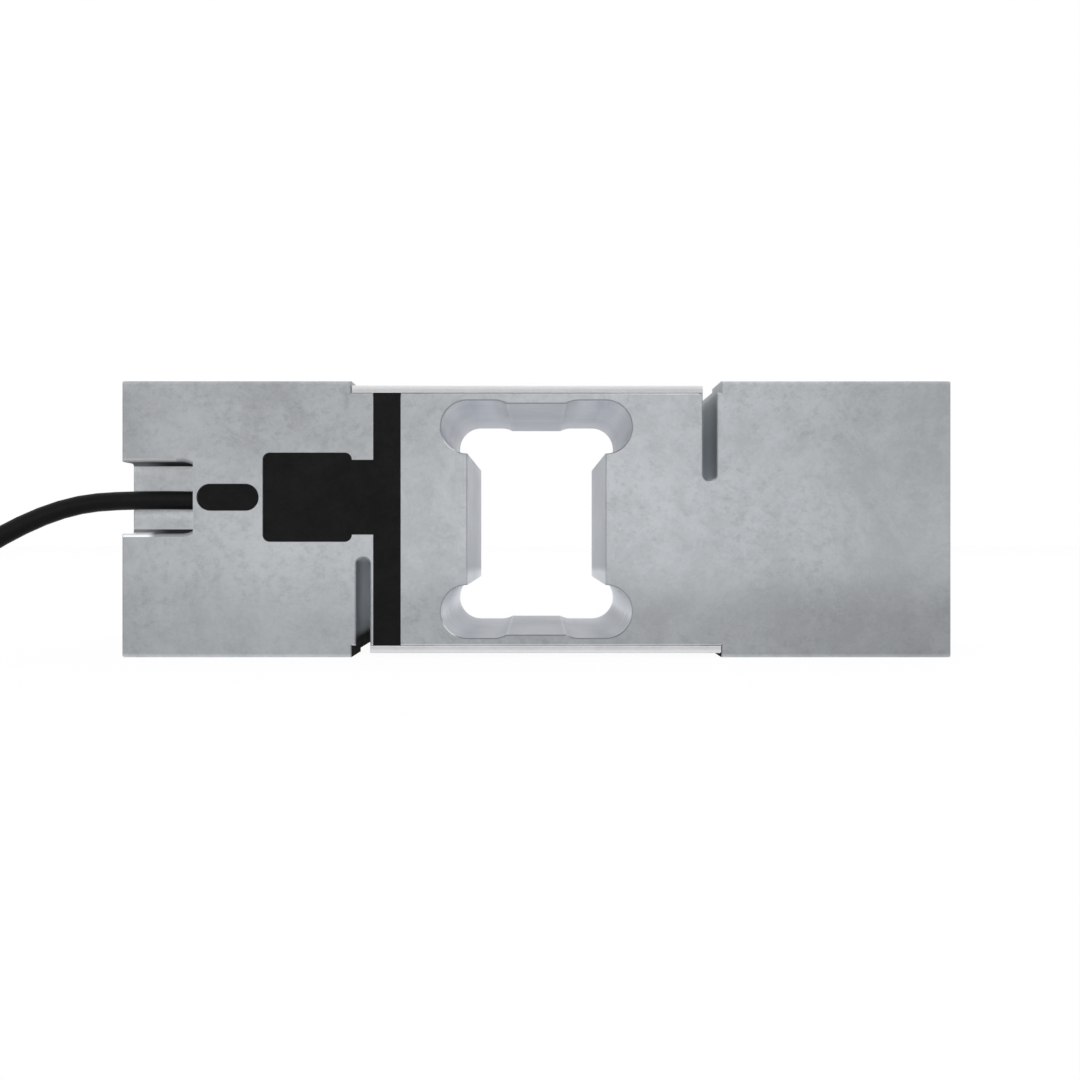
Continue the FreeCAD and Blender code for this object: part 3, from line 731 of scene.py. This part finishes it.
smallLook = {
    "cloudScale": 420.0,
    "speckGrain": 6.0,
    "light": 1.12,
    "dark": 0.84,
    "roughSpan": (0.08, -0.04),
    "grain": (4200.0, 2.0, 0.5),
    "bumpStrength": 0.1,
    "bumpDistance": 0.03 * mm,
}
smallSets = {
    "coreRed": {"base": (0.46, 0.018, 0.02), "rough": 0.38},
    "coreBlack": {"base": (0.018, 0.018, 0.019), "rough": 0.38},
    "coreGreen": {"base": (0.025, 0.25, 0.06), "rough": 0.38},
    "coreWhite": {"base": (0.76, 0.76, 0.73), "rough": 0.4},
    "gaugeFilm": {"base": (0.52, 0.26, 0.05), "rough": 0.25},
    "flexFilm": {"base": (0.48, 0.22, 0.04), "rough": 0.3},
    "boardLaminate": {"base": (0.025, 0.14, 0.06), "rough": 0.45},
    "chipCeramic": {"base": (0.025, 0.025, 0.028), "rough": 0.35},
    "tinnedCopper": {"base": (0.62, 0.60, 0.57), "rough": 0.34, "metallic": 1.0},
}


def makeSmall(name):
    values = smallSets[name]
    material, tree, shader = startMaterial(name)
    stain = place(tree, stainGroup, scale=smallLook["cloudScale"], grain=smallLook["speckGrain"])
    light = tuple(min(1.0, c * smallLook["light"]) for c in values["base"]) + (1,)
    dark = tuple(c * smallLook["dark"] for c in values["base"]) + (1,)
    feed(tree, shader["Base Color"], mixColour(tree, stain["Clouds"], dark, light))
    span = [values["rough"] + step for step in smallLook["roughSpan"]]
    feed(tree, shader["Roughness"], spread(tree, stain["Clouds"], 0.0, 1.0, *span))
    shader["Metallic"].default_value = values.get("metallic", 0.0)
    bumped(tree, shader, smallLook, noise(tree, objectPlace(tree), *smallLook["grain"]))
    return material


finishes = {"machinedAluminium": makeBodyMetal(), "coverAluminium": makeCoverMetal()}
finishes.update({name: makeBlack(name) for name in blackSets})
finishes.update({name: makeSmall(name) for name in smallSets})


def finishFor(slotName):
    words = slotName.split("_")
    return finishes[words[0] + "".join(word.capitalize() for word in words[1:])]


# every carried-over node takes the finish of its own slot
for row in frame["record"]["subparts"]:
    slots = nodes[row["node"]].data.materials
    slots.clear()
    slots.append(finishFor(row["material_slot"]))
print("materials:", len(finishes))


# cable: out of the notch, down to the floor, wound into a coil, then on to its bare end

cableSet = {
    "diameter": 3.4,
    "length": 1.9,
    "route": [
        (-62.15, -17.05, 28.5),
        (-74.55, -17.05, 28.75),
        (-86.0, -19.6, 27.45),
        (-97.0, -26.0, 20.15),
        (-107.5, -31.9, 9.4),
        (-119.0, -35.6, 1.7),
        (-131.5, -37.1, 1.7),
    ],
    "columns": 4,
    "layers": 4,
    "meanRadius": 19.5,
    "gap": 0.1,
    "wholeTurns": 14,
    "endAngle": 265.0,
    "pointsPerTurn": 24,
    "stepShare": 0.3,  # part of a turn in which the cable steps over to the next place
    "tailStraight": 6.6,
    "tailSteps": [
        (-12.7, 2.2, 0.21),
        (-17.6, 5.4, 0.51),
        (-21.0, 10.3, 0.82),
        (-22.6, 16.4, 1.0),
        (-22.6, 23.0, 1.0),
    ],
    "tieAngle": 95.0,
    "tieReach": 26.0,
    "tieRise": 1.5,  # steepness of the lift over the strap
    "tieWidth": 6.0,
    "tieThickness": 0.9,
}
sleeveSet = {
    "radius": 2.0,
    "length": 11.0,
    "mouth": 1.75,
    "mouthWall": 0.25,
    "shoulder": 2.2,
    "shoulderSteps": 8,
    "edge": 0.2,
    "endWall": 0.45,
    "hollow": 2.5,
    "hollowWall": 0.5,
    "sides": 32,
}


def smooth(share):
    share = max(0.0, min(1.0, share))
    return share * share * (3 - 2 * share)


def coilFrame():
    d = cableSet["diameter"]
    outerTurn = cableSet["meanRadius"] + (cableSet["columns"] - 1) * d / 2
    outside = outerTurn + d / 2
    lead = math.sqrt((outside + d / 2 + cableSet["gap"]) ** 2 - outerTurn ** 2)
    last, before = Vector(cableSet["route"][-1]), Vector(cableSet["route"][-2])
    heading = (last - before).normalized()
    touch = last + heading * lead
    centre = touch + Vector((heading.y, -heading.x, 0)) * outerTurn
    return Vector((centre.x, centre.y, 0)), outerTurn, lead, touch


def coilPlaces():
    # radius and height of each turn: outer to inner on the floor, back out one layer up, and so on
    d = cableSet["diameter"]
    outerTurn = coilFrame()[1]
    places = []
    for layer in range(cableSet["layers"]):
        columns = range(cableSet["columns"])
        for column in columns if layer % 2 == 0 else reversed(columns):
            places.append((outerTurn - column * d, (layer + 0.5) * d))
    return places


def coilPoint(turns, startAngle, centre):
    # each layer's steps, and each rise, come earlier in the turn than those below, so that no turns meet
    places = coilPlaces()
    share = cableSet["stepShare"]
    radius, height = places[0]
    changes = 0
    for i, ((r0, z0), (r1, z1)) in enumerate(zip(places, places[1:])):
        rises = z1 > z0
        changes += rises
        moved = smooth((turns - i - 1) / share + 1 + changes)
        radius += (r1 - r0) * moved
        height += (z1 - z0) * moved
        changes += rises
    angle = startAngle - turns * 360
    fromTie = abs((angle - cableSet["tieAngle"] + 180) % 360 - 180)
    top = places[-1][1]
    lift = cableSet["tieThickness"] * (top - height) / (top - places[0][1])
    rise = cableSet["tieRise"]
    height += lift * smooth(rise - fromTie / cableSet["tieReach"] * rise)
    reach = radius / math.cos(math.pi / cableSet["pointsPerTurn"])
    turned = math.radians(angle)
    return centre + Vector((reach * math.cos(turned), reach * math.sin(turned), height))


def cablePoints():
    centre, outerTurn, lead, touch = coilFrame()
    startAngle = math.degrees(math.atan2(touch.y - centre.y, touch.x - centre.x)) % 360
    turns = cableSet["wholeTurns"] + (startAngle - cableSet["endAngle"]) / 360
    points = [Vector(p) for p in cableSet["route"]] + [touch]
    perTurn = cableSet["pointsPerTurn"]
    points += [coilPoint(i / perTurn, startAngle, centre) for i in range(1, int(turns * perTurn) + 1)]
    angle = math.radians(cableSet["endAngle"])
    top = coilPlaces()[-1][1]
    leave = centre + Vector((outerTurn * math.cos(angle), outerTurn * math.sin(angle), top))
    way = Vector((math.sin(angle), -math.cos(angle), 0))
    start = leave + way * lead
    fall = sleeveSet["radius"] - top
    tail = [start, start + way * cableSet["tailStraight"]]
    tail += [start + Vector((x, y, share * fall)) for x, y, share in cableSet["tailSteps"]]
    return points + [leave] + tail


def curvePiece(name, lines, thickness, finish, steps=4, sides=6):
    data = bpy.data.curves.new(name, "CURVE")
    data.dimensions = "3D"
    data.bevel_depth = thickness * mm
    data.bevel_resolution = sides
    data.resolution_u = steps
    data.use_fill_caps = True
    for points in lines:
        spline = data.splines.new("NURBS")
        spline.points.add(len(points) - 1)
        for point, value in zip(spline.points, points):
            point.co = (value.x * mm, value.y * mm, value.z * mm, 1)
        spline.order_u = 3
        spline.use_endpoint_u = True
    data.materials.append(finishes[finish])
    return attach(addObject(name, data), "root")


cableLine = cablePoints()
cable = curvePiece("cable", [cableLine], cableSet["diameter"] / 2, "cableJacket")
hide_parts("cable_run", "cable_coil", "cable_tail")
print("cable:", len(cableLine), "points")


# meshes made point by point, in millimetres

def meshPiece(name, points, faces, finish, soft=True):
    data = bpy.data.meshes.new(name)
    data.from_pydata([tuple(p * mm for p in point) for point in points], [], faces)
    data.polygons.foreach_set("use_smooth", [soft] * len(data.polygons))
    data.materials.append(finishes[finish])
    tidy = bmesh.new()
    tidy.from_mesh(data)
    bmesh.ops.recalc_face_normals(tidy, faces=tidy.faces)
    tidy.to_mesh(data)
    tidy.free()
    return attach(addObject(name, data), "root")


def ringFaces(rings, sides, close=False):
    faces = []
    for i in range(rings if close else rings - 1):
        for j in range(sides):
            a, b = i * sides + j, i * sides + (j + 1) % sides
            shift = ((i + 1) % rings - i) * sides
            faces.append((a, b, b + shift, a + shift))
    return faces


def endFaces(rings, sides):
    last = (rings - 1) * sides
    return [tuple(range(sides)), tuple(range(last, last + sides))]


# strap round the coil

tieSet = {"corner": 1.5, "cornerSteps": 5, "edge": 0.15}


def roundedLoop(low, high, corner, steps):
    (left, foot), (right, top) = low, high
    points = []
    for cx, cz, start in ((right, top, 0), (left, top, 90), (left, foot, 180), (right, foot, 270)):
        middle = (cx - math.copysign(corner, cx - (left + right) / 2),
                  cz - math.copysign(corner, cz - (foot + top) / 2))
        for i in range(steps + 1):
            turned = math.radians(start + 90 * i / steps)
            points.append((middle[0] + corner * math.cos(turned), middle[1] + corner * math.sin(turned)))
    return points


def makeTie():
    d, t, half = cableSet["diameter"], cableSet["tieThickness"], cableSet["tieWidth"] / 2
    centre, outerTurn = coilFrame()[:2]
    outside = outerTurn + d / 2
    inside = math.sqrt((outside - cableSet["columns"] * d) ** 2 - half ** 2)
    top = cableSet["layers"] * d
    corner, steps, edge = tieSet["corner"], tieSet["cornerSteps"], tieSet["edge"]
    inner = roundedLoop((inside, t), (outside, top), corner, steps)
    outer = roundedLoop((inside - t, 0), (outside + t, top + t), corner + t, steps)
    share = edge / t
    points = []
    for (ix, iz), (ox, oz) in zip(inner, outer):
        nearIn = (ix + (ox - ix) * share, iz + (oz - iz) * share)
        nearOut = (ox + (ix - ox) * share, oz + (iz - oz) * share)
        section = [((ix, iz), edge - half), ((ix, iz), half - edge), (nearIn, half), (nearOut, half),
                   ((ox, oz), half - edge), ((ox, oz), edge - half), (nearOut, -half), (nearIn, -half)]
        points += [(x, y, z) for (x, z), y in section]
    faces = ringFaces(len(inner), len(section), close=True)
    turn = Matrix.Rotation(math.radians(cableSet["tieAngle"]), 4, "Z")
    placed = [turn @ Vector(point) + centre for point in points]
    piece = meshPiece("coilStrap", placed, faces, "tieStrap", soft=False)
    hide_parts("coil_tie")
    return piece


tie = makeTie()


# shrink sleeve over the jacket's end, drawn in at the cable

def endFrame():
    last, before = cableLine[-1], cableLine[-2]
    along = Vector((last.x - before.x, last.y - before.y, 0)).normalized()
    return last, along, Vector((-along.y, along.x, 0))


def makeSleeve():
    start, along, across = endFrame()
    up = Vector((0, 0, 1))
    radius, mouth, length = sleeveSet["radius"], sleeveSet["mouth"], sleeveSet["length"]
    edge, sides, steps = sleeveSet["edge"], sleeveSet["sides"], sleeveSet["shoulderSteps"]
    profile = [(0.0, mouth - sleeveSet["mouthWall"]), (0.0, mouth)]
    for i in range(1, steps + 1):
        share = i / steps
        profile.append((sleeveSet["shoulder"] * share, mouth + (radius - mouth) * smooth(share)))
    profile += [(length - edge, radius), (length, radius - edge), (length, radius - sleeveSet["endWall"]),
                (length - sleeveSet["hollow"], radius - sleeveSet["hollowWall"])]
    points = []
    for forward, r in profile:
        for j in range(sides):
            turned = 2 * math.pi * j / sides
            points.append(start + along * forward + (across * math.cos(turned) + up * math.sin(turned)) * r)
    faces = ringFaces(len(profile), sides) + endFaces(len(profile), sides)
    piece = meshPiece("endSleeve", points, faces, "shrinkSleeve")
    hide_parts("end_sleeve")
    return piece


sleeve = makeSleeve()


# four cores and the shield's pigtail, fanned out on the floor

leadSet = {
    "radius": 0.5,
    "offset": 0.58,
    "length": 18.0,
    "hover": 0.2,
    "fans": {"red": 19.0, "black": 5.0, "green": -5.0, "white": -19.0},
    "bow": 0.9,
    "innerBow": 0.27,
    # shares of the length and of the bow
    "waypoints": ((-0.08, 0.0), (0.12, 0.4), (0.45, 1.0), (0.75, 0.7), (1.0, 0.0)),
    "tipLength": 4.0,
    "tipHeight": 0.3,
    "strandRadius": 0.11,
    "tipTwist": {"count": 7, "ring": 0.2, "lay": 5.0, "steps": 12},  # goes round once in the lay's length
}
shieldSet = {
    "radius": 0.35,
    "lift": 1.3,
    "strandRadius": 0.1,
    "twist": {"count": 10, "ring": 0.24, "lay": 3.2, "steps": 60},
}


def leadLine(fan, radius, offset, lift, bow):
    start, along, across = endFrame()
    reach = math.tan(math.radians(fan)) * leadSet["length"]
    base = start + along * sleeveSet["length"]
    first = sleeveSet["radius"] + lift
    last = radius + leadSet["hover"]
    points = []
    for share, side in leadSet["waypoints"]:
        sideways = offset + reach * max(0.0, share) + bow * side
        height = first + (last - first) * smooth(max(0.0, share))
        point = base + along * (leadSet["length"] * share) + across * sideways
        points.append(Vector((point.x, point.y, height)))
    return points


def twist(line, count, ring, lay, steps):
    # strands that wind round the straight way from the first point to the last
    way = line[-1] - line[0]
    axis = way.normalized()
    side = axis.cross(Vector((0, 0, 1))).normalized()
    up = side.cross(axis)
    found = [[line[0] + way * (i / steps) for i in range(steps + 1)]]
    for k in range(count - 1):
        strand = []
        for i in range(steps + 1):
            turned = 2 * math.pi * (k / (count - 1) + way.length * i / steps / lay)
            offset = side * math.cos(turned) + up * math.sin(turned)
            strand.append(line[0] + way * (i / steps) + offset * ring)
        found.append(strand)
    return found


def makeLeads():
    made, tips = [], []
    widest = max(leadSet["fans"].values())
    for colour, fan in leadSet["fans"].items():
        side = math.copysign(1, fan)
        outer = abs(fan) == widest
        lift = leadSet["offset"] if outer else -leadSet["offset"]
        bow = side * leadSet["bow" if outer else "innerBow"]
        line = leadLine(fan, leadSet["radius"], side * leadSet["offset"], lift, bow)
        label = colour.capitalize()
        lead = curvePiece("lead" + label, [line], leadSet["radius"], "core" + label, steps=6)
        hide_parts("lead_" + colour)
        made.append(lead)
        way = (line[-1] - line[-2]).normalized()
        tip = line[-1] + Vector((way.x, way.y, 0)) * leadSet["tipLength"]
        tip.z = leadSet["tipHeight"]
        tips += twist([line[-1] - way, tip], **leadSet["tipTwist"])
    ends = curvePiece("strandTips", tips, leadSet["strandRadius"], "tinnedCopper", sides=2, steps=2)
    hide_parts("lead_tips")
    return made + [ends]


def makeShield():
    line = leadLine(0.0, shieldSet["radius"], 0.0, shieldSet["lift"], 0.0)
    strands = twist([line[0], line[-1]], **shieldSet["twist"])
    radius = shieldSet["strandRadius"]
    pigtail = curvePiece("shieldPigtail", strands, radius, "tinnedCopper", sides=2, steps=2)
    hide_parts("shield_wire")
    return pigtail


leads = makeLeads()
shield = makeShield()
print("cable end:", len(leads), "leads and tips")


# thread ridges in the four tapped holes, from the record's bolt patterns

threadSet = {
    "pitch": 1.25,
    "height": 0.32,
    "sink": 0.02,
    "inset": 0.9,
    "depth": 17.0,
    "sides": 40,
    "halfCrest": 0.1,
    "halfFoot": 0.44,
    "flankShare": 0.8,
    "leastFade": 0.05,
}


def makeThread(name, middle, wallRadius, up):
    pitch, sides = threadSet["pitch"], threadSet["sides"]
    turns = (threadSet["depth"] - threadSet["inset"]) / pitch
    wall, crest = wallRadius + threadSet["sink"], wallRadius - threadSet["height"]
    foot, top = threadSet["halfFoot"], threadSet["halfCrest"]
    profile = [(wall, -foot), (crest, -top), (crest, top), (wall, foot)]
    points = []
    rings = int(turns * sides) + 1
    for i in range(rings):
        turned = 2 * math.pi * i / sides
        fade = min(1.0, i / sides, (rings - 1 - i) / sides)  # runs in and out over one turn
        fade = max(threadSet["leastFade"], fade)
        for r, shift in profile:
            radius = wall + (r - wall) * fade
            depth = threadSet["inset"] + pitch * i / sides + shift * pitch * threadSet["flankShare"]
            across = middle.x + radius * math.cos(turned)
            away = middle.y + up * radius * math.sin(turned)
            points.append(Vector((across, away, middle.z - up * depth)))
    faces = ringFaces(rings, len(profile)) + endFaces(rings, len(profile))
    piece = meshPiece(name, points, faces, "machinedAluminium", soft=False)
    return piece


threads = []
for mount in frame["record"]["mounts"]:
    if mount["kind"] != "bolt_pattern":
        continue
    x, y, z = [value / mm for value in mount["pos_m"]]
    half = mount["dims"]["spacing_x_mm"] / 2
    up = math.copysign(1, mount["axis"][2])
    for side in (-1, 1):
        middle = Vector((x + side * half, y, z))
        name = "thread" + str(len(threads) + 1)
        threads.append(makeThread(name, middle, mount["dims"]["hole_r_mm"], up))
print("threads:", len(threads))


# floor: white to the eye, but it keeps a soft shadow

floorSet = {
    "size": 6.0,
    "drop": 0.02 * mm,
    "white": (1, 1, 1, 1),
    "cover": (0.55, 0.55, 0.55, 1),
    "share": 0.96,
}


def seen(tree):
    # camera, mirror and see-through rays
    path = put(tree, "LightPath").outputs
    return most(tree, path["Is Camera Ray"], path["Is Glossy Ray"], path["Is Transmission Ray"])


def makeFloor():
    half = floorSet["size"] / 2
    corners = [(-half, -half), (half, -half), (half, half), (-half, half)]
    data = bpy.data.meshes.new("floor")
    data.from_pydata([(x, y, bodyLow.z - floorSet["drop"]) for x, y in corners], [], [(0, 1, 2, 3)])
    material = bpy.data.materials.new("paleFloor")
    tree = emptyTree(material)
    eye = seen(tree)
    colour = mixColour(tree, eye, floorSet["cover"], floorSet["white"])
    matt = put(tree, "BsdfDiffuse", {"Color": colour}).outputs[0]
    white = put(tree, "Emission", {"Color": floorSet["white"], "Strength": 1.0}).outputs[0]
    share = product(tree, eye, floorSet["share"])
    mixed = put(tree, "MixShader", {0: share, 1: matt, 2: white}).outputs[0]
    tree.links.new(mixed, put(tree, "OutputMaterial").inputs["Surface"])
    data.materials.append(material)
    floor = addObject("floor", data)


worldSet = {
    "white": {"Color": (1, 1, 1, 1), "Strength": 1.0},
    "soft": {"Color": (0.97, 0.99, 1.0, 1), "Strength": 0.75},
}


def makeWorld():
    world = bpy.data.worlds.new("studio")
    tree = emptyTree(world)
    white = put(tree, "Background", worldSet["white"]).outputs[0]
    soft = put(tree, "Background", worldSet["soft"]).outputs[0]
    mixed = put(tree, "MixShader", {0: seen(tree), 1: soft, 2: white}).outputs[0]
    tree.links.new(mixed, put(tree, "OutputWorld").inputs["Surface"])
    bpy.context.scene.world = world


lampSets = {
    "keyLamp": {"spot": (-0.3, -1.1, 0.32), "size": (0.9, 0.8), "power": 2.3, "tint": (1.0, 0.99, 0.98)},
    "topLamp": {"spot": (0.1, 0.15, 1.0), "size": (0.9, 0.7), "power": 2.5, "tint": (1.0, 1.0, 1.0)},
    "fillLamp": {"spot": (0.35, -1.1, 0.22), "size": (0.9, 0.8), "power": 1.7, "tint": (0.96, 0.98, 1.0)},
    "backLamp": {"spot": (0.15, 1.2, 0.4), "size": (0.9, 0.8), "power": 1.0, "tint": (1.0, 1.0, 1.0)},
}


def makeLamps():
    aim = (bodyLow + bodyHigh) / 2
    for name, values in lampSets.items():
        data = bpy.data.lights.new(name, "AREA")
        data.shape = "RECTANGLE"
        data.size, data.size_y = values["size"]
        data.energy = values["power"]
        data.color = values["tint"]
        lamp = addObject(name, data)
        lamp.location = values["spot"]
        lamp.rotation_euler = (aim - lamp.location).to_track_quat("-Z", "Y").to_euler()


viewSet = {
    "away": 157.5 * mm,
    "height": 21.24 * mm,
    "lens": 29.02,
    "sensor": 36.0,
    "shift": 3.55 / 1080,  # a share of the picture's width
    "near": 5 * mm,
}


def makeCamera():
    data = bpy.data.cameras.new("frontView")
    data.lens = viewSet["lens"]
    data.sensor_width = viewSet["sensor"]
    data.shift_x = viewSet["shift"]
    data.clip_start = viewSet["near"]
    camera = addObject("frontView", data)
    camera.location = (0, bodyLow.y - viewSet["away"], bodyLow.z + viewSet["height"])
    camera.rotation_euler = (math.radians(90), 0, 0)
    bpy.context.scene.camera = camera


makeFloor()
makeWorld()
makeLamps()
makeCamera()
bpy.context.scene.view_settings.view_transform = "Standard"
print("stage ready")
